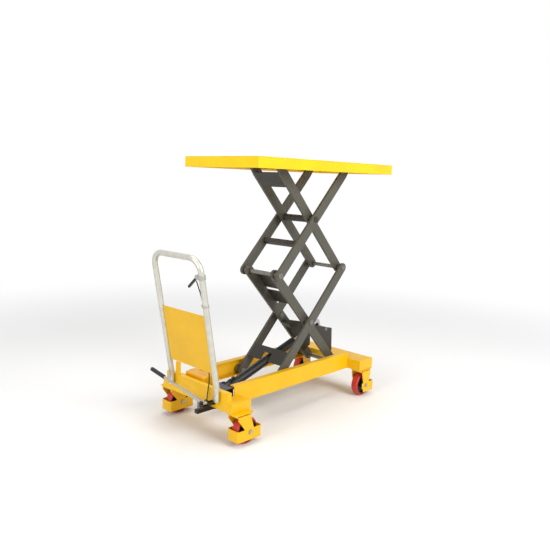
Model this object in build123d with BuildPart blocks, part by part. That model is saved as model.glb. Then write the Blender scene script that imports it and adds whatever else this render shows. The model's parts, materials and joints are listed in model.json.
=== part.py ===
# Mobile hydraulic lift table with a double scissor, shown fully raised.
# Millimetres. +X is forward, away from the push handle; +Y is the left side; +Z is up; the floor is Z = 0.
# The origin is on the floor, under the middle of the whole table.
import os
from math import asin, atan2, cos, degrees, hypot, radians, sin, tan
from build123d import *

os.makedirs("parts", exist_ok=True)

# ---------------------------------------------------------------- driving dimensions
platform_length, platform_width, platform_height = 1220, 610, 1530
platform_depth, deck_sheet, skirt_sheet = 60, 4, 4
platform_middle = -35            # platform centre, from the middle of the scissor
half_span = 297                  # scissor pivots, fore and aft of its middle, when raised
base_pivot_height = 218
top_pivot_drop = 28              # platform top down to the upper pivots

arm_depth, arm_thick = 60, 16
inner_arm_y, outer_arm_y = 108, 149     # middle of each arm's thickness
pin_diameter, running_gap = 24.9, 0.1   # every running bore is this gap wider than its pin
open_pivot_gap = 2.1             # wider bore where the linkage is opened
pin_head_diameter, pin_head = 36, 3.5

rail_half_width = 200            # outer faces of the base channels
rail_height, rail_bottom, rail_web, rail_flange = 105, 183, 6, 7     # the casters are rail_bottom high
rail_flange_width = 38
base_roller_diameter, platform_roller_diameter = 55.4, 43.4
roller_width = 24

member_half_width = 300          # half the width of both cross members
rear_member_back, rear_member_front = -790, -650   # from the middle of the scissor
rail_rear, rear_plate_depth, outrigger_height = -680, 30, 52
front_member_back, front_member_front = 345, 485
front_member_height = 68
member_wall = 6

wheel_diameter, wheel_width, hub_diameter = 150, 48, 130
wheel_hub_length, axle_diameter = 78, 16
rear_wheel_y, front_wheel_y = 295, 262
rear_swivel_x, caster_trail = -727, 40
front_wheel_x = 416
fork_width, fork_sheet = 90, 4.5

handle_tube_diameter, handle_wall = 32, 2.5
handle_half_width = 198
handle_foot_bottom, handle_bend_height, handle_top = 232, 300, 1008
handle_lean = 10.5               # degrees back from upright
handle_corner_radius, handle_bend_radius = 76, 90
kick_plate_bottom, kick_plate_top, kick_plate_sheet = 385, 705, 3

cylinder_pivot_x, cylinder_pivot_z = -560, 196
crank_along, crank_offset = 220, 105    # crank pin, up the arm and square to it
barrel_diameter, barrel_bore, barrel_length = 54, 42, 600
rod_diameter = 30
slot_half = 32                   # half width of the notch that clears the cylinder

pedal_pivot_y, pedal_pivot_z, pedal_x = -158, 225, -860
pedal_reach, pedal_rise = 485, 8.8      # length, and degrees above level
pedal_rod_diameter, pedal_grip_diameter, pedal_grip_length = 14, 24, 128

# ---------------------------------------------------------------- worked out from them
deck_under = platform_height - deck_sheet
top_pivot_height = platform_height - top_pivot_drop
stage_rise = (top_pivot_height - base_pivot_height) / 4
arm_length = 2 * hypot(half_span, stage_rise)
raise_angle = degrees(atan2(stage_rise, half_span))
lower_centre_z = base_pivot_height + stage_rise
junction_z = base_pivot_height + 2 * stage_rise
upper_centre_z = base_pivot_height + 3 * stage_rise

handle_foot_x = rear_member_back - handle_tube_diameter / 2
handle_top_x = handle_foot_x - (handle_top - handle_bend_height) * tan(radians(handle_lean))
table_rear = handle_top_x - handle_tube_diameter / 2
table_front = platform_middle + platform_length / 2
SX = -(table_front + table_rear) / 2     # the middle of the scissor, from the origin

inner_face = inner_arm_y - arm_thick / 2
outer_face = outer_arm_y + arm_thick / 2
between_arms = (inner_arm_y + arm_thick / 2, outer_arm_y - arm_thick / 2)
web_face = rail_half_width - rail_web
rail_top = rail_bottom + rail_height
member_bottom = rail_bottom
roller_y = rail_half_width - rail_flange_width + 3 + roller_width / 2
pin_bore = pin_diameter + running_gap


def save(piece, label):
    """Label one finished sub-part and write its STEP file."""
    piece.label = label
    export_step(piece, f"parts/{label}.step")


def side(y):
    """Plane seen from the right side: local x is forward, local y is up, extrusion goes to -Y."""
    return Plane(origin=(SX, y, 0), x_dir=(1, 0, 0), z_dir=(0, -1, 0))


def link(x, z, tilt, y):
    """Side plane with its origin on a pivot and its local x along an arm tilted by tilt degrees."""
    along = (cos(radians(tilt)), 0, sin(radians(tilt)))
    return Plane(origin=(SX + x, y, z), x_dir=along, z_dir=(0, -1, 0))


def level(x, y, z):
    """Horizontal plane at a point, measured from the middle of the scissor."""
    return Plane.XY.offset(z).move(Location((SX + x, y, 0)))


C_LINK = (-half_span, junction_z, -raise_angle)          # lower inner arms, from the rear junction
D_LINK = (-half_span, base_pivot_height, raise_angle)    # lower outer arms, from the base rollers
B_LINK = (-half_span, junction_z, raise_angle)           # upper outer arms, from the rear junction
A_LINK = (-half_span, top_pivot_height, -raise_angle)    # upper inner arms, from the platform rollers


# ---------------------------------------------------------------- scissor arms
def arm(at, y_middle, bores, nose=None):
    """Flat bar with three pivot bores. nose is the local x of the end that works under the deck."""
    with BuildPart() as bar:
        with BuildSketch(link(*at, y_middle + arm_thick / 2)):
            if nose is None:
                with Locations((arm_length / 2, 0)):
                    SlotCenterToCenter(arm_length, arm_depth)
            else:
                inward = 1 if nose == 0 else -1
                start, stop = nose + inward * 60, arm_length / 2 + inward * arm_length / 2
                with Locations(((start + stop) / 2, 0)):
                    Rectangle(abs(stop - start), arm_depth)
                with Locations((stop, 0)):
                    Circle(arm_depth / 2)
                with Locations((nose, 0)):
                    Circle(top_pivot_drop - deck_sheet - 2)
                with BuildLine():
                    lip = top_pivot_drop - deck_sheet - 2
                    Polyline((nose, -lip), (start, -arm_depth / 2), (start, arm_depth / 2),
                             (nose, lip), close=True)
                make_face()
            for distance, bore in zip((0, arm_length / 2, arm_length), bores):
                with Locations((distance, 0)):
                    Circle(bore / 2, mode=Mode.SUBTRACT)
        extrude(amount=arm_thick)
    return bar.part


plain = (pin_bore, pin_bore, pin_bore)
opened = (pin_bore, pin_bore, pin_diameter + open_pivot_gap)
for hand, sign in (("left", 1), ("right", -1)):
    save(arm(C_LINK, sign * inner_arm_y, plain), f"lower_inner_arm_{hand}")
    save(arm(D_LINK, sign * outer_arm_y, opened), f"lower_outer_arm_{hand}")
    save(arm(B_LINK, sign * outer_arm_y, plain, nose=arm_length), f"upper_outer_arm_{hand}")
    save(arm(A_LINK, sign * inner_arm_y, plain, nose=0), f"upper_inner_arm_{hand}")


# ---------------------------------------------------------------- plates and tubes between the arms
def cross_bar(at, half_width, start, stop, low, high):
    """Bar across the table, from start to stop along an arm and from low to high square to it."""
    with BuildPart() as bar:
        with BuildSketch(link(*at, half_width)):
            with Locations(((start + stop) / 2, (low + high) / 2)):
                Rectangle(stop - start, high - low)
        extrude(amount=2 * half_width)
    return bar.part


half_depth = arm_depth / 2
plate = 6
with BuildPart() as lower_inner_plates:
    for start, stop in ((42, 178), (205, 322)):
        add(cross_bar(C_LINK, inner_face, start, stop, half_depth - plate, half_depth))
    add(cross_bar(C_LINK, inner_face, arm_length - 402, arm_length - 358, -half_depth, -5))
    add(cross_bar(C_LINK, slot_half, arm_length - 402, arm_length - 358, -half_depth, -5), mode=Mode.SUBTRACT)
save(lower_inner_plates.part, "lower_inner_plates")

inner_of_outer = outer_arm_y - arm_thick / 2
with BuildPart() as lower_outer_plate:
    add(cross_bar(D_LINK, inner_of_outer, 92, 188, half_depth - plate, half_depth))
    add(cross_bar(D_LINK, slot_half, 92, 150, half_depth - plate, half_depth), mode=Mode.SUBTRACT)
save(lower_outer_plate.part, "lower_outer_plate")

with BuildPart() as upper_outer_tube:
    add(cross_bar(B_LINK, inner_of_outer, 223, 253, -17, 13))
    add(cross_bar(B_LINK, inner_of_outer - 3, 226, 250, -14, 10), mode=Mode.SUBTRACT)
save(upper_outer_tube.part, "upper_outer_tube")

save(cross_bar(A_LINK, inner_face, 40, 152, -half_depth, -half_depth + plate), "upper_inner_plate")


# ---------------------------------------------------------------- pins and shafts
def pin(x, z, y_from, y_to, diameter=pin_diameter):
    """Round bar along Y between two y values, whichever is larger."""
    with BuildPart() as bar:
        with BuildSketch(Plane(origin=(SX + x, max(y_from, y_to), z), x_dir=(1, 0, 0), z_dir=(0, -1, 0))):
            Circle(diameter / 2)
        extrude(amount=abs(y_to - y_from))
    return bar.part


head_gap = 0.4
head_from, head_to = outer_face + head_gap, outer_face + head_gap + pin_head
collar_gap = 0.5
collar = (between_arms[0] + collar_gap, between_arms[1] - collar_gap)
collar_diameter = 38

with BuildPart() as lower_centre_pins:
    for sign in (1, -1):
        add(pin(0, lower_centre_z, sign * (inner_face - 6), sign * head_to))
        add(pin(0, lower_centre_z, sign * (inner_face - 6), sign * (inner_face - 0.2), pin_head_diameter))
        add(pin(0, lower_centre_z, sign * collar[0], sign * collar[1], collar_diameter))
        add(pin(0, lower_centre_z, sign * head_from, sign * head_to, pin_head_diameter))
save(lower_centre_pins.part, "lower_centre_pins")

with BuildPart() as rear_junction_shaft:
    add(pin(-half_span, junction_z, head_to, -head_to))
    for sign in (1, -1):
        add(pin(-half_span, junction_z, sign * collar[0], sign * collar[1], collar_diameter))
        add(pin(-half_span, junction_z, sign * head_from, sign * head_to, pin_head_diameter))
save(rear_junction_shaft.part, "rear_junction_shaft")

with BuildPart() as front_junction_shaft:
    add(pin(half_span, junction_z, head_to, -head_to))
    for sign in (1, -1):
        add(pin(half_span, junction_z, sign * collar[0], sign * collar[1], collar_diameter))
        add(pin(half_span, junction_z, sign * head_from, sign * head_to, pin_head_diameter))
save(front_junction_shaft.part, "front_junction_shaft")

with BuildPart() as upper_centre_tube:
    add(pin(0, upper_centre_z, head_to, -head_to))
    add(pin(0, upper_centre_z, inner_face, -inner_face, 42))
    for sign in (1, -1):
        add(pin(0, upper_centre_z, sign * collar[0], sign * collar[1], collar_diameter))
        add(pin(0, upper_centre_z, sign * head_from, sign * head_to, pin_head_diameter))
save(upper_centre_tube.part, "upper_centre_tube")

# The fixed lower pivot: a shaft from web to web of the base channels, with a collar outside each arm.
with BuildPart() as base_pivot_shaft:
    add(pin(half_span, base_pivot_height, web_face, -web_face))
    for sign in (1, -1):
        add(pin(half_span, base_pivot_height, sign * collar[0], sign * web_face, collar_diameter))
        add(pin(half_span, base_pivot_height, sign * (inner_face - 8), sign * (inner_face - collar_gap),
                collar_diameter))
save(base_pivot_shaft.part, "base_pivot_shaft")

# The fixed upper pivot: a stub on each platform rail, running in the front end of the outer arms.
with BuildPart() as platform_pivot_pins:
    for sign in (1, -1):
        add(pin(half_span, top_pivot_height, sign * (inner_of_outer - 4), sign * web_face))
        add(pin(half_span, top_pivot_height, sign * (outer_face + collar_gap), sign * web_face, 34))
        add(pin(half_span, top_pivot_height, sign * (inner_of_outer - 4), sign * (inner_of_outer - head_gap),
                34))
save(platform_pivot_pins.part, "platform_pivot_pins")


# ---------------------------------------------------------------- rollers
def rollers(z, diameter, arm_y, label):
    """Pair of steel rollers with their stub axles, one on each side of the table."""
    with BuildPart() as pair:
        for sign in (1, -1):
            inner, outer = roller_y - roller_width / 2, roller_y + roller_width / 2
            add(pin(-half_span, z, sign * inner, sign * outer, diameter))
            add(pin(-half_span, z, sign * (arm_y - arm_thick / 2 - 5), sign * inner))
            inside = arm_y - arm_thick / 2
            add(pin(-half_span, z, sign * (inside - 5), sign * (inside - head_gap), pin_head_diameter - 4))
            add(pin(-half_span, z, sign * (arm_y + arm_thick / 2 + head_gap), sign * inner, 32))
    save(pair.part, label)


rollers(base_pivot_height, base_roller_diameter, outer_arm_y, "base_rollers")
rollers(top_pivot_height, platform_roller_diameter, inner_arm_y, "platform_rollers")

# ---------------------------------------------------------------- crank plates and pin
pivot_local = arm_length                # the base pivot, along the lower inner arm
crank_half = inner_face - 0.3        # the plates lie against the inner arms
crank_sheet = 10
with BuildPart() as crank_plates:
    for sign in (1, -1):
        outer = crank_half if sign > 0 else -(crank_half - crank_sheet)
        with BuildSketch(link(*C_LINK, outer)):
            with BuildLine():
                Polyline((pivot_local - 352, -20), (pivot_local - 352, 30), (pivot_local - 179, 146),
                         (pivot_local - 60, 47), (pivot_local - 75, -20), close=True)
            make_face()
            with Locations((pivot_local - crank_along, crank_offset)):
                Circle(pin_bore / 2, mode=Mode.SUBTRACT)
        extrude(amount=crank_sheet)
save(crank_plates.part, "crank_plates")

c_along = Vector(cos(radians(raise_angle)), 0, -sin(radians(raise_angle)))
c_normal = Vector(sin(radians(raise_angle)), 0, cos(radians(raise_angle)))
crank_pin_x = half_span - crank_along * c_along.X + crank_offset * c_normal.X
crank_pin_z = base_pivot_height - crank_along * c_along.Z + crank_offset * c_normal.Z
with BuildPart() as crank_pin:
    add(pin(crank_pin_x, crank_pin_z, crank_half, -crank_half))
save(crank_pin.part, "crank_pin")

# ---------------------------------------------------------------- hydraulic cylinder
cylinder_reach = hypot(crank_pin_x - cylinder_pivot_x, crank_pin_z - cylinder_pivot_z)
cylinder_tilt = degrees(asin((crank_pin_z - cylinder_pivot_z) / cylinder_reach))
cylinder_link = (cylinder_pivot_x, cylinder_pivot_z, cylinder_tilt)
eye_half, eye_bore, eye_pin = 18, 20.1, 20
cylinder_axis = Plane(origin=(SX + cylinder_pivot_x, 0, cylinder_pivot_z), x_dir=(0, 1, 0),
                      z_dir=(cos(radians(cylinder_tilt)), 0, sin(radians(cylinder_tilt))))
piston_at, piston_length, head_start = 392, 26, cylinder_reach - 34

with BuildPart() as cylinder_barrel:
    with BuildSketch(cylinder_axis.offset(36)):
        Circle(barrel_diameter / 2)
    extrude(amount=barrel_length - 36)
    with BuildSketch(cylinder_axis.offset(50)):
        Circle(barrel_bore / 2)
    extrude(amount=barrel_length - 50 - 24, mode=Mode.SUBTRACT)
    with BuildSketch(cylinder_axis.offset(barrel_length - 30)):
        Circle(rod_diameter / 2 + running_gap / 2)
    extrude(amount=40, mode=Mode.SUBTRACT)
    with BuildSketch(link(*cylinder_link, eye_half)):
        Circle(22)
        with Locations((22, 0)):
            Rectangle(40, 44)
    extrude(amount=2 * eye_half)
    with BuildSketch(link(*cylinder_link, eye_half)):
        Circle(eye_bore / 2)
    extrude(amount=2 * eye_half, mode=Mode.SUBTRACT)
    with BuildSketch(link(*cylinder_link, 7)):
        with Locations((66, 33)):
            Rectangle(16, 14)
    extrude(amount=14)
save(cylinder_barrel.part, "cylinder_barrel")

with BuildPart() as cylinder_rod:
    with BuildSketch(cylinder_axis.offset(piston_at)):
        Circle(barrel_bore / 2 - running_gap / 2)
    extrude(amount=piston_length)
    with BuildSketch(cylinder_axis.offset(piston_at)):
        Circle(rod_diameter / 2)
    extrude(amount=head_start - piston_at + 2)
    with BuildSketch(link(*cylinder_link, 20)):
        with Locations((cylinder_reach, 0)):
            Rectangle(68, 76)
    extrude(amount=40)
    with BuildSketch(link(*cylinder_link, 20)):
        with Locations((cylinder_reach, 0)):
            RectangleRounded(36, 52, 12)
    extrude(amount=40, mode=Mode.SUBTRACT)
save(cylinder_rod.part, "cylinder_rod")

lug_inner, lug_outer = eye_half + 2, eye_half + 14
with BuildPart() as cylinder_bracket:
    for sign in (1, -1):
        near, far = sorted((sign * lug_inner, sign * lug_outer))
        with BuildSketch(side(far)):
            with Locations(((rear_member_front + cylinder_pivot_x) / 2, cylinder_pivot_z + 9)):
                Rectangle(cylinder_pivot_x - rear_member_front, 50)
            with Locations((cylinder_pivot_x, cylinder_pivot_z + 9)):
                Circle(25)
        extrude(amount=far - near)
    add(pin(cylinder_pivot_x, cylinder_pivot_z, lug_outer + 4, -lug_outer - 4, eye_pin))
save(cylinder_bracket.part, "cylinder_bracket")


# ---------------------------------------------------------------- base frame
def channel(x_from, x_to, sign, bottom, height, web, flange, label, top_flange=True):
    """Pressed channel along X, open towards the middle of the table."""
    tip = rail_half_width - rail_flange_width
    with BuildPart() as rail:
        with BuildSketch(Plane(origin=(SX + x_from, 0, 0), x_dir=(0, 1, 0), z_dir=(1, 0, 0))):
            with Locations((sign * (rail_half_width - web / 2), bottom + height / 2)):
                Rectangle(web, height)
            with Locations((sign * (rail_half_width + tip) / 2, bottom + flange / 2)):
                Rectangle(rail_flange_width, flange)
            if top_flange:
                with Locations((sign * (rail_half_width + tip) / 2, bottom + height - flange / 2)):
                    Rectangle(rail_flange_width, flange)
        extrude(amount=x_to - x_from)
    if label:
        save(rail.part, label)
    return rail.part


for hand, sign in (("left", 1), ("right", -1)):
    channel(rail_rear, front_member_back, sign, rail_bottom, rail_height, rail_web, rail_flange,
            f"side_channel_{hand}")

def box_member(x_from, x_to, y_from, y_to, height):
    """Hollow closed box of a cross member, between two x values and two y values."""
    length, width = x_to - x_from, abs(y_to - y_from)
    middle = ((x_from + x_to) / 2, (y_from + y_to) / 2)
    with BuildPart() as member:
        with BuildSketch(level(*middle, member_bottom)):
            Rectangle(length, width)
        extrude(amount=height)
        with BuildSketch(level(*middle, member_bottom + member_wall)):
            Rectangle(length - 2 * member_wall, width - 2 * member_wall)
        extrude(amount=height - 2 * member_wall, mode=Mode.SUBTRACT)
    return member.part


# The rear member is a shallow box behind the beams, with a low outrigger box over each swivel caster
# and a tray between them that carries the pump. A tab beside each handle post steadies the handle.
post_tab_height, post_tab_width = 364, 40
sump_size, sump_x, sump_y = (46, 40), -734, -112
with BuildPart() as rear_cross_member:
    add(box_member(rear_member_back, rear_member_back + rear_plate_depth,
                   -rail_half_width - 66, rail_half_width + 66, rail_height))
    for sign in (1, -1):
        add(box_member(rear_member_back + rear_plate_depth, rear_member_front,
                       *sorted((sign * rail_half_width, sign * member_half_width)), outrigger_height))
        add(box_member(rear_member_back, rear_member_back + rear_plate_depth,
                       *sorted((sign * (rail_half_width + 66), sign * member_half_width)), outrigger_height))
        tab_y = sign * (handle_half_width - handle_tube_diameter / 2 - post_tab_width / 2)
        with BuildSketch(level(rear_member_back + member_wall / 2, tab_y, rail_top)):
            Rectangle(member_wall, post_tab_width)
        extrude(amount=post_tab_height - rail_top)
    tray_from = rear_member_back + rear_plate_depth
    with BuildSketch(level((tray_from + rear_member_front) / 2, 0, member_bottom)):
        Rectangle(rear_member_front - tray_from, 2 * rail_half_width)
        with Locations((sump_x - (tray_from + rear_member_front) / 2, sump_y)):
            Rectangle(sump_size[0] + 4, sump_size[1] + 4, mode=Mode.SUBTRACT)
    extrude(amount=member_wall)
    for sign in (1, -1):
        tip = rail_half_width - rail_flange_width
        with BuildSketch(level((rail_rear + rear_member_front) / 2, sign * (rail_half_width + tip) / 2,
                               member_bottom)):
            Rectangle(rear_member_front - rail_rear, rail_flange_width)
        extrude(amount=member_wall + 1, mode=Mode.SUBTRACT)
save(rear_cross_member.part, "rear_cross_member")
save(box_member(front_member_back, front_member_front, -member_half_width, member_half_width,
                front_member_height), "front_cross_member")

# ---------------------------------------------------------------- pump unit, plunger and pedal
plunger_y, plunger_diameter = -112, 12
plunger_low = 156
socket_length, socket_diameter = 160, 22
plunger_arm = plunger_y - pedal_pivot_y
plunger_top = (pedal_pivot_z + (plunger_arm - plunger_diameter / 2) * tan(radians(pedal_rise))
               - socket_diameter / 2 / cos(radians(pedal_rise)) - 0.3)
foot_low, foot_high = 158, 180
pump_seat = member_bottom + member_wall
valve_block, valve_x, valve_y, valve_top = (104, 130), -702, -95, 262
tank, tank_x, tank_y, tank_top = (76, 168), -712, 66, 306
with BuildPart() as pump_unit:
    with BuildSketch(level(tank_x, tank_y, pump_seat)):
        RectangleRounded(*tank, 14)
    extrude(amount=tank_top - pump_seat)
    fillet(pump_unit.faces().sort_by(Axis.Z)[-1].edges(), 8)
    with BuildSketch(level(valve_x, valve_y, pump_seat)):
        RectangleRounded(*valve_block, 5)
    extrude(amount=valve_top - pump_seat)
    with BuildSketch(level(valve_x, (valve_y + tank_y) / 2, pump_seat)):
        Rectangle(52, tank_y - valve_y)
    extrude(amount=34)
    with BuildSketch(level(sump_x, sump_y, foot_low)):
        Rectangle(*sump_size)
    extrude(amount=pump_seat - foot_low)
    with BuildSketch(level((pedal_x + sump_x) / 2 - 8, plunger_y, foot_low)):
        Rectangle(sump_x - pedal_x + 16, 26)
    extrude(amount=foot_high - foot_low)
    with BuildSketch(level(pedal_x, plunger_y, foot_low - 1)):
        Circle(plunger_diameter / 2 + running_gap / 2)
    extrude(amount=foot_high - foot_low + 2, mode=Mode.SUBTRACT)
save(pump_unit.part, "pump_unit")

pedal_along = (0, cos(radians(pedal_rise)), sin(radians(pedal_rise)))
pedal_axis = Plane(origin=(SX + pedal_x, pedal_pivot_y, pedal_pivot_z), x_dir=(1, 0, 0), z_dir=pedal_along)
pedal_pin, pedal_boss = 12, 24
lug_sheet = 6
boss_half = 13
grip_start = pedal_reach - pedal_grip_length
with BuildPart() as pedal_lever:
    with BuildSketch(pedal_axis):
        Circle(socket_diameter / 2)
    extrude(amount=socket_length)
    with BuildSketch(pedal_axis.offset(socket_length)):
        Circle(pedal_rod_diameter / 2)
    extrude(amount=pedal_reach - 6 - socket_length)
    with BuildSketch(Plane.YZ.offset(SX + pedal_x - boss_half)):
        with Locations((pedal_pivot_y, pedal_pivot_z)):
            Circle(pedal_boss / 2)
    extrude(amount=2 * boss_half)
    with BuildSketch(Plane.YZ.offset(SX + pedal_x - boss_half)):
        with Locations((pedal_pivot_y, pedal_pivot_z)):
            Circle(pedal_pin / 2 + running_gap / 2)
    extrude(amount=2 * boss_half, mode=Mode.SUBTRACT)
save(pedal_lever.part, "pedal_lever")

with BuildPart() as pedal_grip:
    with BuildSketch(pedal_axis.offset(grip_start)):
        Circle(pedal_grip_diameter / 2)
    extrude(amount=pedal_grip_length)
    fillet(pedal_grip.edges().filter_by(GeomType.CIRCLE), 6)
    with BuildSketch(pedal_axis.offset(grip_start - 1)):
        Circle(pedal_rod_diameter / 2)
    extrude(amount=pedal_grip_length - 5, mode=Mode.SUBTRACT)
save(pedal_grip.part, "pedal_grip")

with BuildPart() as pump_plunger:
    with BuildSketch(level(pedal_x, plunger_y, plunger_low)):
        Circle(plunger_diameter / 2)
    extrude(amount=plunger_top - plunger_low)
save(pump_plunger.part, "pump_plunger")

with BuildPart() as pedal_bracket:
    for start in (pedal_x - boss_half - 1 - lug_sheet, pedal_x + boss_half + 1):
        with BuildSketch(Plane.YZ.offset(SX + start)):
            with Locations((pedal_pivot_y, pedal_pivot_z)):
                RectangleRounded(26, 32, 8)
        extrude(amount=lug_sheet)
    with BuildSketch(Plane.YZ.offset(SX + pedal_x - boss_half - 14)):
        with Locations((pedal_pivot_y, pedal_pivot_z)):
            Circle(pedal_pin / 2)
    extrude(amount=rear_member_back - pedal_x + boss_half + 14)
    bridge_from = pedal_x - boss_half - 1 - lug_sheet
    with BuildSketch(level((bridge_from + rear_member_back) / 2, pedal_pivot_y, pedal_pivot_z - 19)):
        Rectangle(rear_member_back - bridge_from, 26)
    extrude(amount=6)
save(pedal_bracket.part, "pedal_bracket")

# ---------------------------------------------------------------- push handle and kick plate
lean = radians(handle_lean)
handle_line = [(handle_foot_x, -handle_half_width, handle_foot_bottom),
               (handle_foot_x, -handle_half_width, handle_bend_height),
               (handle_top_x, -handle_half_width, handle_top),
               (handle_top_x, handle_half_width, handle_top),
               (handle_foot_x, handle_half_width, handle_bend_height),
               (handle_foot_x, handle_half_width, handle_foot_bottom)]
handle_points = [(SX + x, y, z) for x, y, z in handle_line]
with BuildPart() as handle_tube:
    with BuildLine() as handle_path:
        FilletPolyline(*handle_points, radius=[handle_bend_radius, handle_corner_radius,
                                               handle_corner_radius, handle_bend_radius])
    with BuildSketch(Plane(origin=handle_points[0], z_dir=(0, 0, 1))):
        Circle(handle_tube_diameter / 2)
        Circle(handle_tube_diameter / 2 - handle_wall, mode=Mode.SUBTRACT)
    sweep()
save(handle_tube.part, "handle_tube")


def handle_plane(height, y):
    """Plane across the leaning part of the handle: local x is +Y, local y runs up the posts."""
    x = handle_foot_x - (height - handle_bend_height) * tan(lean)
    return Plane(origin=(SX + x, y, height), x_dir=(0, 1, 0), z_dir=(cos(lean), 0, sin(lean)))


def post_plane(height, y):
    """Plane square to a leaning post: local x is +Y, local z runs up the post."""
    x = handle_foot_x - (height - handle_bend_height) * tan(lean)
    return Plane(origin=(SX + x, y, height), x_dir=(0, 1, 0), z_dir=(-sin(lean), 0, cos(lean)))


plate_height = (kick_plate_top - kick_plate_bottom) / cos(lean)
plate_half = handle_half_width - handle_tube_diameter / 2
with BuildPart() as kick_plate:
    with BuildSketch(handle_plane((kick_plate_bottom + kick_plate_top) / 2, 0).offset(-kick_plate_sheet / 2)):
        Rectangle(2 * plate_half, plate_height)
    extrude(amount=kick_plate_sheet)
save(kick_plate.part, "kick_plate")

# ---------------------------------------------------------------- release lever, clamp and cable
clamp_height = 914
lever_pivot_y = -handle_half_width + 34
clamp_plane = handle_plane(clamp_height, 0)
lever_pin = 8
with BuildPart() as release_clamp:
    with BuildSketch(post_plane(clamp_height, 0).offset(-12)):
        with Locations((-handle_half_width, 0)):
            Circle(handle_tube_diameter / 2 + 4)
        with Locations(((lever_pivot_y - handle_half_width) / 2, 0)):
            Rectangle(lever_pivot_y + handle_half_width, 20)
        with Locations((-handle_half_width, 0)):
            Circle(handle_tube_diameter / 2, mode=Mode.SUBTRACT)
    extrude(amount=24)
    with BuildSketch(clamp_plane.offset(-10)):
        with Locations((lever_pivot_y, 0)):
            Circle(12)
    extrude(amount=20)
    with BuildSketch(clamp_plane.offset(-4.5)):
        with Locations((lever_pivot_y + 9, 0)):
            Rectangle(42, 40)
    extrude(amount=9, mode=Mode.SUBTRACT)
    with BuildSketch(clamp_plane.offset(-10)):
        with Locations((lever_pivot_y, 0)):
            Circle(lever_pin / 2)
    extrude(amount=20)
save(release_clamp.part, "release_clamp")

lever_length, lever_fall = 104, -38
with BuildPart() as release_lever:
    with BuildSketch(clamp_plane.offset(-4)):
        with Locations((lever_pivot_y, 0)):
            Circle(9)
        reach_y, reach_up = lever_length * cos(radians(lever_fall)), lever_length * sin(radians(lever_fall))
        with Locations(Location((lever_pivot_y + reach_y / 2, reach_up / 2, 0), (0, 0, lever_fall))):
            SlotCenterToCenter(lever_length, 14)
        with Locations((lever_pivot_y, 0)):
            Circle(lever_pin / 2 + running_gap / 2, mode=Mode.SUBTRACT)
    extrude(amount=8)
save(release_lever.part, "release_lever")

cable_diameter = 6
# Each point: how far ahead of the leaning post's axis, then y and z.
cable_route = [(0, -150, 890), (0.6, -159, 858), (0, -170, 824), (0, -177.5, 786), (0, -177.5, 742),
               (14, -174, 700), (14, -164, 590), (14, -150, 500), (13, -138, 412)]
cable_line = [(handle_foot_x - (z - handle_bend_height) * tan(lean) + ahead, y, z)
              for ahead, y, z in cable_route]
cable_line += [(handle_foot_x + 7, -128, 330), (handle_foot_x + 2, -120, 258), (handle_foot_x, -112, foot_high)]
cable_points = [(SX + x, y, z) for x, y, z in cable_line]


def tube(points, diameter, label):
    """Round cable or hose along straight runs joined by tangent arcs as large as the runs allow."""
    runs = [Vector(*b) - Vector(*a) for a, b in zip(points, points[1:])]
    radii = []
    for before, after in zip(runs, runs[1:]):
        turn = radians(before.get_angle(after))
        radii.append(0.45 * min(before.length, after.length) / tan(turn / 2))
    with BuildPart() as cable:
        with BuildLine() as route:
            FilletPolyline(*points, radius=radii)
        with BuildSketch(Plane(origin=points[0], z_dir=runs[0].normalized())):
            Circle(diameter / 2)
        sweep()
    save(cable.part, label)
    print(label, "bend radii", [round(radius) for radius in radii])
    print(label, "volume / (section x length)",
          round(cable.part.volume / (3.14159265 * diameter ** 2 / 4 * route.wires()[0].length), 4))


tube(cable_points, cable_diameter, "release_cable")

with BuildPart() as cable_clips:
    for clip_height in (762,):
        with BuildSketch(post_plane(clip_height, 0).offset(-6)):
            with Locations((-handle_half_width, 0)):
                Circle(handle_tube_diameter / 2 + 2)
            with Locations((-handle_half_width + 17, 0)):
                Rectangle(22, 12)
            with Locations((-handle_half_width, 0)):
                Circle(handle_tube_diameter / 2, mode=Mode.SUBTRACT)
            with Locations((-handle_half_width + 20.5, 0)):
                Circle(cable_diameter / 2 + 1.2, mode=Mode.SUBTRACT)
        extrude(amount=12)
save(cable_clips.part, "cable_clips")

hose_diameter = 11
hose_start = valve_x + valve_block[0] / 2
hose_line = [(hose_start, -50, valve_top - 16), (-618, -49, valve_top - 14), (-585, -39, valve_top - 8),
             (-551, -21, valve_top - 8), (-521, -4, valve_top - 19)]
tube([(SX + x, y, z) for x, y, z in hose_line], hose_diameter, "hydraulic_hose")

# ---------------------------------------------------------------- casters
axle_height = wheel_diameter / 2
rear_wheel_x = rear_swivel_x + caster_trail
crown_top, crown_sheet = 172, 8
guard_clear, guard_low, guard_high = 9, 30, 92
guard_bend = 16                 # outside radius of the bent corners of the toe guards
kingpin_diameter, raceway_diameter = 18, 70
plate_size, plate_sheet = (128, 84), 5
bolt_head, axle_bolt_head, bolt_rise = 17, 25.5, 5.6


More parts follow.
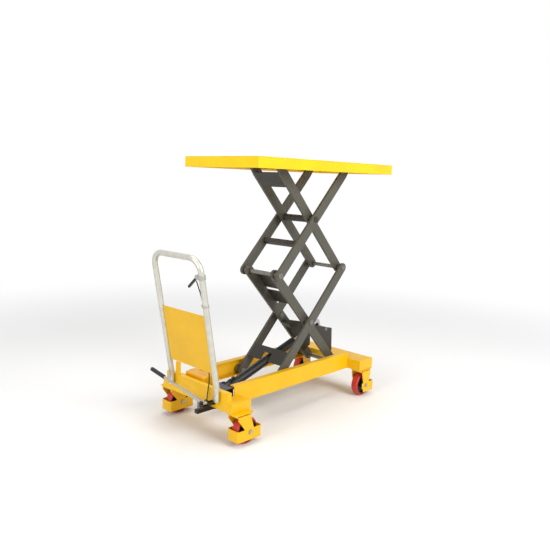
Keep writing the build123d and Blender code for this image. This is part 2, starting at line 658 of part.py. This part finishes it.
def fork(pivot_x, wheel_x, y, guard_from, guard_to, swivels, label):
    """Pressed caster fork: crown, two tapered legs and a toe guard from guard_from to guard_to."""
    outer, inner = fork_width / 2, fork_width / 2 - fork_sheet
    radius = wheel_diameter / 2 + guard_clear
    with BuildPart() as part:
        with BuildSketch(side(y + outer)):
            with BuildLine():
                Polyline((pivot_x - 42, crown_top), (pivot_x - 42, crown_top - 22),
                         (wheel_x - 24, axle_height),
                         (wheel_x - 24, axle_height - 20), (wheel_x + 24, axle_height - 20),
                         (wheel_x + 30, axle_height + 10), (pivot_x + 46, crown_top - 16),
                         (pivot_x + 46, crown_top), close=True)
            make_face()
        extrude(amount=fork_width)
        back = guard_from if swivels else guard_from - guard_bend
        with BuildSketch(level((back + guard_to) / 2, y, guard_low)):
            RectangleRounded(guard_to - back, fork_width, guard_bend)
        extrude(amount=guard_high - guard_low)
        if not swivels:
            with BuildSketch(level(guard_from - guard_bend, y, guard_low)):
                Rectangle(2 * guard_bend, fork_width)
            extrude(amount=axle_height - 22 - guard_low, mode=Mode.SUBTRACT)
        inner_from = back + fork_sheet if swivels else pivot_x - 80
        with BuildSketch(level((inner_from + guard_to - fork_sheet) / 2, y, -1)):
            RectangleRounded(guard_to - fork_sheet - inner_from, 2 * inner, guard_bend - fork_sheet)
        extrude(amount=crown_top - crown_sheet + 1, mode=Mode.SUBTRACT)
        with BuildSketch(side(y + outer)):
            with Locations((wheel_x, axle_height)):
                Circle(axle_diameter / 2 + running_gap / 2)
        extrude(amount=fork_width, mode=Mode.SUBTRACT)
        if swivels:
            with BuildSketch(level(pivot_x, y, crown_top - crown_sheet)):
                Circle(raceway_diameter / 2 - 4)
            extrude(amount=crown_sheet + 3)
            with BuildSketch(level(pivot_x, y, crown_top - crown_sheet)):
                Circle(kingpin_diameter / 2)
            extrude(amount=member_bottom - 0.5 - crown_top + crown_sheet)
    save(part.part, label)


def wheel(x, y, place):
    """Polyurethane tread bonded on a cast core with a long hub."""
    with BuildPart() as tread:
        with BuildSketch(side(y + wheel_width / 2)):
            with Locations((x, axle_height)):
                Circle(wheel_diameter / 2)
        extrude(amount=wheel_width)
        fillet(tread.edges().filter_by(GeomType.CIRCLE), 7)
        with BuildSketch(side(y + wheel_width / 2)):
            with Locations((x, axle_height)):
                Circle(hub_diameter / 2)
        extrude(amount=wheel_width, mode=Mode.SUBTRACT)
    save(tread.part, f"{place}_tread")
    with BuildPart() as core:
        for half, outer, inner in ((wheel_width / 2 - 2, hub_diameter, hub_diameter - 16),
                                   (7, hub_diameter - 10, 30),
                                   (wheel_hub_length / 2, 44, axle_diameter + running_gap)):
            with BuildSketch(side(y + half)):
                with Locations((x, axle_height)):
                    Circle(outer / 2)
                    Circle(inner / 2, mode=Mode.SUBTRACT)
            extrude(amount=2 * half)
    save(core.part, f"{place}_core")


def axle_bolt(x, y):
    """Through bolt with a hexagon head and a nut outside the fork."""
    half = fork_width / 2
    with BuildPart() as bolt:
        add(pin(x, axle_height, y - half - 8, y + half + 8, axle_diameter))
        for start in (y + half, y - half - 8):
            with BuildSketch(side(start + 8)):
                with Locations((x, axle_height)):
                    RegularPolygon(axle_bolt_head / 2, 6)
            extrude(amount=8)
    return bolt.part


for hand, sign in (("left", 1), ("right", -1)):
    reach = wheel_diameter / 2 + guard_clear + fork_sheet
    fork(rear_swivel_x, rear_wheel_x, sign * rear_wheel_y, rear_wheel_x - reach, rear_wheel_x + reach, True,
         f"rear_caster_fork_{hand}")
    fork(front_wheel_x, front_wheel_x, sign * front_wheel_y, front_wheel_x - 26, front_wheel_x + reach, False,
         f"front_caster_fork_{hand}")
    wheel(rear_wheel_x, sign * rear_wheel_y, f"rear_wheel_{hand}")
    wheel(front_wheel_x, sign * front_wheel_y, f"front_wheel_{hand}")
    save(axle_bolt(rear_wheel_x, sign * rear_wheel_y), f"rear_axle_bolt_{hand}")

with BuildPart() as caster_plates:
    for x, y in ((rear_swivel_x, rear_wheel_y), (rear_swivel_x, -rear_wheel_y),
                 (front_wheel_x, front_wheel_y), (front_wheel_x, -front_wheel_y)):
        edge_x = x + 4 if x == rear_swivel_x else x
        with BuildSketch(level(edge_x, y, member_bottom - plate_sheet)):
            RectangleRounded(*plate_size, 8)
        extrude(amount=plate_sheet)
        low = member_bottom - plate_sheet - 2.6 if x == rear_swivel_x else crown_top
        with BuildSketch(level(x, y, low)):
            Circle(raceway_diameter / 2)
        extrude(amount=member_bottom - plate_sheet - low)
    for sign in (1, -1):
        with BuildSketch(level(rear_swivel_x, sign * rear_wheel_y, crown_top)):
            Circle(kingpin_diameter / 2 + 0.5)
        extrude(amount=member_bottom - crown_top, mode=Mode.SUBTRACT)
save(caster_plates.part, "caster_plates")

with BuildPart() as frame_bolts:
    for x, y in ((rear_swivel_x + 4, rear_wheel_y), (rear_swivel_x + 4, -rear_wheel_y),
                 (front_wheel_x, front_wheel_y), (front_wheel_x, -front_wheel_y)):
        with BuildSketch(level(x, y, member_bottom - plate_sheet - bolt_rise)):
            with GridLocations(plate_size[0] - 24, plate_size[1] - 22, 2, 2):
                RegularPolygon(bolt_head / 2, 6)
        extrude(amount=bolt_rise)
    for sign in (1, -1):
        add(axle_bolt(front_wheel_x, sign * front_wheel_y))
        for height in (handle_foot_bottom + 14, handle_foot_bottom + 40):
            with BuildSketch(Plane.YZ.offset(SX + rear_member_back - handle_tube_diameter - 6)):
                with Locations((sign * handle_half_width, height)):
                    RegularPolygon(bolt_head / 2, 6)
            extrude(amount=6)
save(frame_bolts.part, "frame_bolts")

# ---------------------------------------------------------------- platform
deck_x = platform_middle
with BuildPart() as platform_deck:
    with BuildSketch(level(deck_x, 0, deck_under)):
        RectangleRounded(platform_length, platform_width, 5)
    extrude(amount=deck_sheet)
    fillet(platform_deck.faces().sort_by(Axis.Z)[-1].edges(), 2.5)
save(platform_deck.part, "platform_deck")

with BuildPart() as platform_skirt:
    with BuildSketch(level(deck_x, 0, platform_height - platform_depth)):
        RectangleRounded(platform_length, platform_width, 5)
        Rectangle(platform_length - 2 * skirt_sheet, platform_width - 2 * skirt_sheet, mode=Mode.SUBTRACT)
    extrude(amount=platform_depth - deck_sheet)
save(platform_skirt.part, "platform_skirt")

rail_depth, platform_rail_sheet, lip_sheet = 52, 6, 6
with BuildPart() as platform_rails:
    for sign in (1, -1):
        add(channel(deck_x - platform_length / 2 + skirt_sheet, half_span + 60, sign, deck_under - rail_depth,
                    rail_depth, platform_rail_sheet, lip_sheet, None, top_flange=False))
save(platform_rails.part, "platform_rails")
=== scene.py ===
# Mobile hydraulic lift table with a double scissor: how each of its pieces looks.
# Metres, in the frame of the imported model: +X is forward, +Y is the left side, +Z is up, the floor is Z = 0.
import json
from math import cos, pi, radians, sin

import bmesh
import bpy
import numpy as np
from mathutils import Matrix, Vector

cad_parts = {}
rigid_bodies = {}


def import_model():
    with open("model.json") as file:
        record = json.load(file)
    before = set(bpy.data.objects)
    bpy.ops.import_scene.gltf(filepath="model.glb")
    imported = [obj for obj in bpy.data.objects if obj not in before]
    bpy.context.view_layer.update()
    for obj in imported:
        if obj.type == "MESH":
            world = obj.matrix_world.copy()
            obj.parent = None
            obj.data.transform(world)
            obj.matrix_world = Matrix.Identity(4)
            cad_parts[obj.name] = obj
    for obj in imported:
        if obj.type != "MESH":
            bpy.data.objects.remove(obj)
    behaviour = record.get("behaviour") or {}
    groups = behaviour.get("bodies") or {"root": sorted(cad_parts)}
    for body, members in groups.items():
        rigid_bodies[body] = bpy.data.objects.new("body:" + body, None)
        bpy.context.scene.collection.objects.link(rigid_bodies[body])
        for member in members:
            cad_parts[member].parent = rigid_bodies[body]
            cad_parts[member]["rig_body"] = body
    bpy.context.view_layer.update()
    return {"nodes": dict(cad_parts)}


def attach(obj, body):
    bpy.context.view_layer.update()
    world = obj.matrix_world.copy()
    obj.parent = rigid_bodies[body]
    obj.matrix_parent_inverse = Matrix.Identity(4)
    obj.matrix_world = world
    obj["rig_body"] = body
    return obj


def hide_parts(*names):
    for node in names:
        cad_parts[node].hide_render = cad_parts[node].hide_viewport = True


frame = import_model()
nodes = frame["nodes"]

# ------------------------------------------------------------------ camera
# The table is seen from behind and to the right, from a little under the raised platform's height.
eye = Vector((-2.650, -2.535, 1.411))
heading, dip, tilt = radians(43.624), radians(-8.919), radians(1.927)
forward = Vector((cos(dip) * cos(heading), cos(dip) * sin(heading), sin(dip)))
level_right = forward.cross(Vector((0, 0, 1))).normalized()
level_up = level_right.cross(forward)
right = cos(tilt) * level_right + sin(tilt) * level_up
up = cos(tilt) * level_up - sin(tilt) * level_right
camera = bpy.data.objects.new("camera", bpy.data.cameras.new("camera"))
camera.data.lens, camera.data.sensor_width = 39.59, 36
camera.matrix_world = Matrix.Translation(eye) @ Matrix((right, up, -forward)).transposed().to_4x4()
bpy.context.scene.collection.objects.link(camera)
bpy.context.scene.camera = camera
bpy.context.scene.view_settings.view_transform = "Standard"


# ------------------------------------------------------------------ floor and light
# A white studio floor that runs out into a white room, with three large soft lights.
def shade(tree, kind, inputs=None, **settings):
    """Add a node of a kind, with its settings, its input values and its links."""
    node = tree.nodes.new(kind)
    for name, value in settings.items():
        setattr(node, name, value)
    for socket, value in (inputs or {}).items():
        if isinstance(value, bpy.types.NodeSocket):
            tree.links.new(value, node.inputs[socket])
        else:
            node.inputs[socket].default_value = value
    return node


def blend(tree, share, first, second):
    """Colour that goes from the first to the second as the share goes from 0 to 1."""
    mix = tree.nodes.new("ShaderNodeMix")
    mix.data_type = "RGBA"
    sockets = {socket.identifier: socket for socket in mix.inputs}
    tree.links.new(share, sockets["Factor_Float"])
    for socket, colour in ((sockets["A_Color"], first), (sockets["B_Color"], second)):
        if isinstance(colour, bpy.types.NodeSocket):
            tree.links.new(colour, socket)
        else:
            socket.default_value = colour
    return next(socket for socket in mix.outputs if socket.identifier == "Result_Color")


def tinted(base, red, green, blue):
    """A colour with each channel scaled by its own share."""
    return (base[0] * red, base[1] * green, base[2] * blue, 1)


def paint(hex_colour):
    """Linear RGBA of an sRGB hex colour."""
    rgb = np.array([int(hex_colour[i:i + 2], 16) for i in (1, 3, 5)]) / 255
    return (*np.where(rgb <= 0.04045, rgb / 12.92, ((rgb + 0.055) / 1.055) ** 2.4), 1)


def blank(name):
    """A new material and its emptied node tree."""
    material = bpy.data.materials.new(name)
    material.use_nodes = True
    material.node_tree.nodes.clear()
    return material, material.node_tree


def seen_by_eye(tree):
    """1 for rays that come from the eye or from a shiny or clear surface, and 0 for the light itself."""
    path = shade(tree, "ShaderNodeLightPath")
    either = shade(tree, "ShaderNodeMath", {0: path.outputs["Is Camera Ray"],
                                            1: path.outputs["Is Glossy Ray"]}, operation="MAXIMUM")
    return shade(tree, "ShaderNodeMath", {0: either.outputs[0], 1: path.outputs["Is Transmission Ray"]},
                 operation="MAXIMUM").outputs[0]


floor_material, tree = blank("studio_floor")
place = shade(tree, "ShaderNodeTexCoord").outputs["Object"]
distance = shade(tree, "ShaderNodeVectorMath", {0: place}, operation="LENGTH").outputs["Value"]
far_away = shade(tree, "ShaderNodeMapRange", {"Value": distance, "From Min": 1.6, "From Max": 5},
                 interpolation_type="SMOOTHSTEP")
fade = shade(tree, "ShaderNodeMath", {0: far_away.outputs[0], 1: seen_by_eye(tree)}, operation="MULTIPLY")
matt = shade(tree, "ShaderNodeBsdfDiffuse", {"Color": (0.93, 0.93, 0.93, 1)})
glow = shade(tree, "ShaderNodeEmission", {"Color": (1, 1, 1, 1), "Strength": 1})
mixed = shade(tree, "ShaderNodeMixShader", {0: fade.outputs[0], 1: matt.outputs[0], 2: glow.outputs[0]})
shade(tree, "ShaderNodeOutputMaterial", {"Surface": mixed.outputs[0]})
floor_mesh = bpy.data.meshes.new("studio_floor")
floor_mesh.from_pydata([(-40, -40, 0), (40, -40, 0), (40, 40, 0), (-40, 40, 0)], [], [(0, 1, 2, 3)])
floor_mesh.materials.append(floor_material)
floor = bpy.data.objects.new("studio_floor", floor_mesh)
bpy.context.scene.collection.objects.link(floor)

world = bpy.data.worlds.new("studio")
bpy.context.scene.world = world
world.use_nodes = True
tree = world.node_tree
tree.nodes.clear()
room = shade(tree, "ShaderNodeMapRange", {"Value": seen_by_eye(tree), "To Min": 0.42, "To Max": 1.0})
sky = shade(tree, "ShaderNodeBackground", {"Color": (1, 1, 1, 1), "Strength": room.outputs[0]})
shade(tree, "ShaderNodeOutputWorld", {"Surface": sky.outputs[0]})

for name, spot, aim, size, watts in (("key", (0.2, -5.2, 3.4), (0, 0, 0.7), 3.0, 215),
                                     ("rear_fill", (-5.4, -0.4, 2.6), (0, 0, 0.7), 3.0, 120),
                                     ("top", (0.3, 0.3, 5.2), (0, 0, 0), 3.5, 120)):
    light = bpy.data.lights.new(name, "AREA")
    light.size, light.energy = size, watts
    lamp = bpy.data.objects.new(name, light)
    lamp.location = spot
    lamp.rotation_euler = (Vector(aim) - Vector(spot)).to_track_quat("-Z", "Y").to_euler()
    bpy.context.scene.collection.objects.link(lamp)


# ------------------------------------------------------------------ platform
# A folded sheet-steel deck with a skirt all round, over two pressed rails that carry the scissor's top ends.
# It is sprayed with yellow polyester powder and baked: a smooth semi-gloss skin with a faint orange peel.
def powder_coat(name, hex_colour, roughness=0.34, worn="#3B3A36", wear=0.55, left_colour=None, left_of=0.0):
    """Baked polyester powder coat: even colour, soft gloss, faint orange peel, and thin chipped edges.

    A left colour, if given, takes the place of the first one where Y is more than left_of."""
    material, tree = blank(name)
    spot = shade(tree, "ShaderNodeTexCoord").outputs["Object"]
    # Clouds about 250 mm across: the coat is a little thicker here and there.
    clouds = shade(tree, "ShaderNodeTexNoise", {"Vector": spot, "Scale": 4.0, "Detail": 3.0}).outputs[0]
    dusty = shade(tree, "ShaderNodeTexNoise",
                  {"Vector": spot, "Scale": 26.0, "Detail": 5.0, "Roughness": 0.6})
    base = paint(hex_colour)
    level = shade(tree, "ShaderNodeMapRange", {"Value": clouds, "From Min": 0.3, "From Max": 0.6})
    tone = blend(tree, level.outputs[0], tinted(base, 0.90, 0.88, 0.82), base)
    if left_colour:
        across = shade(tree, "ShaderNodeSeparateXYZ", {"Vector": spot}).outputs["Y"]
        beyond = shade(tree, "ShaderNodeMath", {0: across, 1: left_of}, operation="GREATER_THAN")
        tone = blend(tree, beyond.outputs[0], tone, paint(left_colour))
    # Chips follow sharp edges: the rounded normal leaves the true one within 2 mm of an edge.
    rounded = shade(tree, "ShaderNodeBevel", {"Radius": 0.0022}, samples=6).outputs[0]
    true = shade(tree, "ShaderNodeNewGeometry").outputs["Normal"]
    along = shade(tree, "ShaderNodeVectorMath", {0: rounded, 1: true}, operation="DOT_PRODUCT")
    chips = shade(tree, "ShaderNodeTexNoise",
                  {"Vector": spot, "Scale": 75.0, "Detail": 4.0, "Roughness": 0.65})
    edge = shade(tree, "ShaderNodeMapRange",
                 {"Value": along.outputs["Value"], "From Min": 0.985, "From Max": 0.90})
    scattered = shade(tree, "ShaderNodeMapRange",
                      {"Value": chips.outputs[0], "From Min": 0.56, "From Max": 0.68})
    chipped = shade(tree, "ShaderNodeMath", {0: edge.outputs[0], 1: scattered.outputs[0]},
                    operation="MULTIPLY")
    bare = shade(tree, "ShaderNodeMath", {0: chipped.outputs[0], 1: wear}, operation="MULTIPLY")
    # Workshop dust dulls the coat and greys it a little, in patches a hand wide.
    dull = shade(tree, "ShaderNodeMapRange", {"Value": dusty.outputs[0], "From Min": 0.52, "From Max": 0.75,
                                              "To Max": 0.16})
    dusted = blend(tree, dull.outputs[0], tone, tinted(base, 0.72, 0.70, 0.75))
    coat = blend(tree, bare.outputs[0], dusted, paint(worn))
    gloss = shade(tree, "ShaderNodeMapRange", {"Value": dusty.outputs[0], "From Min": 0.3, "From Max": 0.7,
                                               "To Min": roughness - 0.05, "To Max": roughness + 0.10})
    # Orange peel, 5 mm from crest to crest: the real skin's is 2 mm, too fine to show.
    peel = shade(tree, "ShaderNodeTexNoise", {"Vector": spot, "Scale": 200.0, "Detail": 1.0})
    skin = shade(tree, "ShaderNodeBump", {"Height": peel.outputs[0], "Strength": 0.10, "Distance": 0.0006})
    surface = shade(tree, "ShaderNodeBsdfPrincipled", {
        "Base Color": coat, "Roughness": gloss.outputs[0], "Normal": skin.outputs[0],
        "Coat Weight": 0.08, "Coat Roughness": 0.18, "Specular IOR Level": 0.35})
    shade(tree, "ShaderNodeOutputMaterial", {"Surface": surface.outputs[0]})
    return material


def finish_node(node, material, edge=0.0, segments=2):
    """Give a CAD node its material, or put in its place a copy whose sharp edges are rounded by edge."""
    source = nodes[node]
    if not edge:
        source.data.materials.clear()
        source.data.materials.append(material)
        return source
    mesh = source.data.copy()
    mesh.materials.clear()
    mesh.materials.append(material)
    shape = bmesh.new()
    shape.from_mesh(mesh)
    bmesh.ops.remove_doubles(shape, verts=shape.verts, dist=2e-5)
    bmesh.ops.dissolve_limit(shape, angle_limit=radians(0.6), verts=shape.verts, edges=shape.edges)
    shape.to_mesh(mesh)
    shape.free()
    mesh.shade_smooth()
    mesh.set_sharp_from_angle(angle=radians(35))
    piece = bpy.data.objects.new(f"{node}_coated", mesh)
    bpy.context.scene.collection.objects.link(piece)
    rounding = piece.modifiers.new("rounded edges", "BEVEL")
    rounding.width, rounding.segments, rounding.limit_method = edge, segments, "ANGLE"
    rounding.angle_limit, rounding.harden_normals = radians(35), True
    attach(piece, source["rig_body"])
    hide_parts(node)
    return piece


platform_yellow = powder_coat("yellow_powder_coat_platform", "#F8D000", 0.38)
finish_node("platform_deck", platform_yellow, 0.0018)
finish_node("platform_skirt", platform_yellow, 0.0012)
finish_node("platform_rails", platform_yellow, 0.0015)

# ------------------------------------------------------------------ base frame
# Two pressed side channels run from a shallow box behind, with a tray for the pump and a low outrigger over
# each swivel caster, to a lower box in front. All of it is welded and powder coated.
frame_yellow = powder_coat("yellow_powder_coat_frame", "#F2BC00", 0.40)
for node in ("side_channel_left", "side_channel_right", "rear_cross_member", "front_cross_member"):
    finish_node(node, frame_yellow, 0.0028, 3)
plate_yellow = powder_coat("yellow_powder_coat_plate", "#E8B400", 0.38)
finish_node("kick_plate", plate_yellow, 0.0009)

# ------------------------------------------------------------------ casters
# Pressed steel forks with toe guards round the wheels, bolted up under the frame and sprayed with it.
for node in ("front_caster_fork_left", "front_caster_fork_right", "rear_caster_fork_left",
             "rear_caster_fork_right", "caster_plates"):
    finish_node(node, frame_yellow, 0.0012)

# ------------------------------------------------------------------ scissor arms
# Flat bars cut from 16 mm plate, drilled for the pivots and coated in a warm grey satin enamel.
arm_grey = powder_coat("warm_grey_enamel", "#55534A", 0.42, "#2A2926", 0.5)
for stage in ("lower", "upper"):
    for layer in ("inner", "outer"):
        for hand in ("left", "right"):
            finish_node(f"{stage}_{layer}_arm_{hand}", arm_grey, 0.0014)
# The plates and tubes between the arms carry the arms' grey enamel. Here they are drawn in a darker
# brown-grey, which is painted shade for the shadow they sit in between the arms.
plate_grey_painted_shade = powder_coat("grey_enamel_painted_dark_shade", "#33302A", 0.45, "#1F1D1A", 0.5)
for node in ("lower_inner_plates", "lower_outer_plate", "upper_outer_tube", "upper_inner_plate",
             "upper_centre_tube", "crank_plates"):
    finish_node(node, plate_grey_painted_shade, 0.001)


# ------------------------------------------------------------------ pins, shafts and rollers
def turned_steel(name, hex_colour, roughness=0.32, metal=1.0, grit=420.0):
    """Steel turned or drawn bright: fine rings and patches of dried oil that dull it."""
    material, tree = blank(name)
    spot = shade(tree, "ShaderNodeTexCoord").outputs["Object"]
    oil = shade(tree, "ShaderNodeTexNoise", {"Vector": spot, "Scale": 30.0, "Detail": 4.0}).outputs[0]
    fine = shade(tree, "ShaderNodeTexNoise", {"Vector": spot, "Scale": grit, "Detail": 2.0})
    base = paint(hex_colour)
    tone = blend(tree, oil, tinted(base, 0.70, 0.68, 0.64), base)
    gloss = shade(tree, "ShaderNodeMapRange", {"Value": oil, "From Min": 0.35, "From Max": 0.65,
                                               "To Min": roughness + 0.12, "To Max": roughness})
    marks = shade(tree, "ShaderNodeBump", {"Height": fine.outputs[0], "Strength": 0.12, "Distance": 0.0004})
    surface = shade(tree, "ShaderNodeBsdfPrincipled", {"Base Color": tone, "Roughness": gloss.outputs[0],
                                                       "Metallic": metal, "Normal": marks.outputs[0]})
    shade(tree, "ShaderNodeOutputMaterial", {"Surface": surface.outputs[0]})
    return material


pin_steel = turned_steel("oiled_turned_steel", "#8E8B86")
for node in ("base_pivot_shaft", "rear_junction_shaft", "front_junction_shaft", "lower_centre_pins",
             "crank_pin", "platform_pivot_pins", "base_rollers", "platform_rollers", "pump_plunger"):
    finish_node(node, pin_steel, 0.0008)
bolt_zinc = turned_steel("bright_zinc_plate", "#C4C3BC", 0.28)
for node in ("frame_bolts", "rear_axle_bolt_left", "rear_axle_bolt_right"):
    finish_node(node, bolt_zinc, 0.0009)

handle_zinc = turned_steel("zinc_plated_tube", "#DAD9CF", 0.30, 0.85, 300.0)
finish_node("handle_tube", handle_zinc)
chrome = turned_steel("hard_chrome", "#C8C8C8", 0.08)
finish_node("cylinder_rod", chrome)
black_enamel = powder_coat("black_enamel", "#1B1B1C", 0.3, "#55544F", 0.5)
# The pump's valve block is black and its oil tank, on the left of it, is sprayed like the frame.
pump_coat = powder_coat("pump_coat", "#1B1B1C", 0.34, "#55544F", 0.5, left_colour="#E0A400", left_of=-0.0185)
finish_node("pump_unit", pump_coat, 0.0015)
for node in ("cylinder_barrel", "cylinder_bracket"):
    finish_node(node, black_enamel, 0.0015)
for node in ("release_lever", "pedal_bracket"):
    finish_node(node, black_enamel, 0.001)
for node in ("release_clamp", "cable_clips"):
    finish_node(node, bolt_zinc, 0.001)


def moulded(name, hex_colour, roughness, grain=900.0, depth=0.0002):
    """Cast or moulded polymer: even colour, a fine matt grain and a little rubbed shine."""
    material, tree = blank(name)
    spot = shade(tree, "ShaderNodeTexCoord").outputs["Object"]
    rubbed = shade(tree, "ShaderNodeTexNoise", {"Vector": spot, "Scale": 22.0, "Detail": 4.0}).outputs[0]
    fine = shade(tree, "ShaderNodeTexNoise", {"Vector": spot, "Scale": grain, "Detail": 2.0})
    base = paint(hex_colour)
    tone = blend(tree, rubbed, tinted(base, 0.80, 0.78, 0.78), base)
    gloss = shade(tree, "ShaderNodeMapRange", {"Value": rubbed, "From Min": 0.35, "From Max": 0.65,
                                               "To Min": roughness - 0.06, "To Max": roughness + 0.08})
    skin = shade(tree, "ShaderNodeBump", {"Height": fine.outputs[0], "Strength": 0.2, "Distance": depth})
    surface = shade(tree, "ShaderNodeBsdfPrincipled", {"Base Color": tone, "Roughness": gloss.outputs[0],
                                                       "Normal": skin.outputs[0]})
    shade(tree, "ShaderNodeOutputMaterial", {"Surface": surface.outputs[0]})
    return material


red = moulded("cast_red_polyurethane", "#C8301F", 0.36)
core_black = moulded("black_nylon_core", "#202022", 0.42)
rubber = moulded("black_rubber", "#1A1A1B", 0.55)


def revolved(name, outline, centre, node, material, turns=96):
    """Ring swept about the Y axis through a centre.

    The outline gives (radius, y) pairs in order around the ring's section."""
    outline = np.array(outline)
    angle = np.linspace(0, 2 * pi, turns, endpoint=False)[:, None]
    radius = np.tile(outline[:, 0], (turns, 1))
    points = np.stack([radius * np.cos(angle), np.tile(outline[:, 1], (turns, 1)),
                       radius * np.sin(angle)], axis=-1).reshape(-1, 3) + np.array(centre)
    count = len(outline)
    here = np.arange(turns * count).reshape(turns, count)
    after, beside = np.roll(here, -1, axis=0), np.roll(here, -1, axis=1)
    faces = np.stack([here, beside, np.roll(after, -1, axis=1), after], axis=-1).reshape(-1, 4)
    mesh = bpy.data.meshes.new(name)
    mesh.from_pydata(points.tolist(), [], faces.tolist())
    mesh.update()
    shape = bmesh.new()
    shape.from_mesh(mesh)
    bmesh.ops.recalc_face_normals(shape, faces=shape.faces)
    shape.to_mesh(mesh)
    shape.free()
    mesh.shade_smooth()
    mesh.set_sharp_from_angle(angle=radians(40))
    mesh.materials.append(material)
    piece = bpy.data.objects.new(name, mesh)
    bpy.context.scene.collection.objects.link(piece)
    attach(piece, nodes[node]["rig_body"])
    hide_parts(node)
    return piece


def node_box(node):
    """Lowest and highest corner of a CAD node."""
    corners = np.array([tuple(nodes[node].matrix_world @ vertex.co) for vertex in nodes[node].data.vertices])
    return corners.min(axis=0), corners.max(axis=0)


def tread_outline(radius, bore, half):
    """Crowned tread: flat across the middle, falling in a quarter round to its sides, over a plain bore."""
    shoulder = 0.009
    bend = np.linspace(0, pi / 2, 9)
    upper = [(radius - shoulder + shoulder * cos(t), half - shoulder + shoulder * sin(t)) for t in bend]
    lower = [(across, -along) for across, along in reversed(upper)]
    crown = [(radius, along) for along in np.linspace(-half + shoulder, half - shoulder, 7)[1:-1]]
    return lower + crown + upper + [(bore, half), (bore, -half)]


# Each wheel is a red polyurethane tread on a black nylon core with a dished web.
for place in ("front_wheel_left", "front_wheel_right", "rear_wheel_left", "rear_wheel_right"):
    low, high = node_box(f"{place}_tread")
    core_low, core_high = node_box(f"{place}_core")
    middle = (low + high) / 2
    revolved(f"{place}_moulded_tread",
             tread_outline((high[2] - low[2]) / 2, (core_high[2] - core_low[2]) / 2 + 0.0001,
                           (high[1] - low[1]) / 2),
             middle, f"{place}_tread", red)
    finish_node(f"{place}_core", core_black, 0.0008)
finish_node("release_cable", rubber)
finish_node("hydraulic_hose", rubber)
finish_node("pedal_grip", rubber)
finish_node("pedal_lever", bolt_zinc)
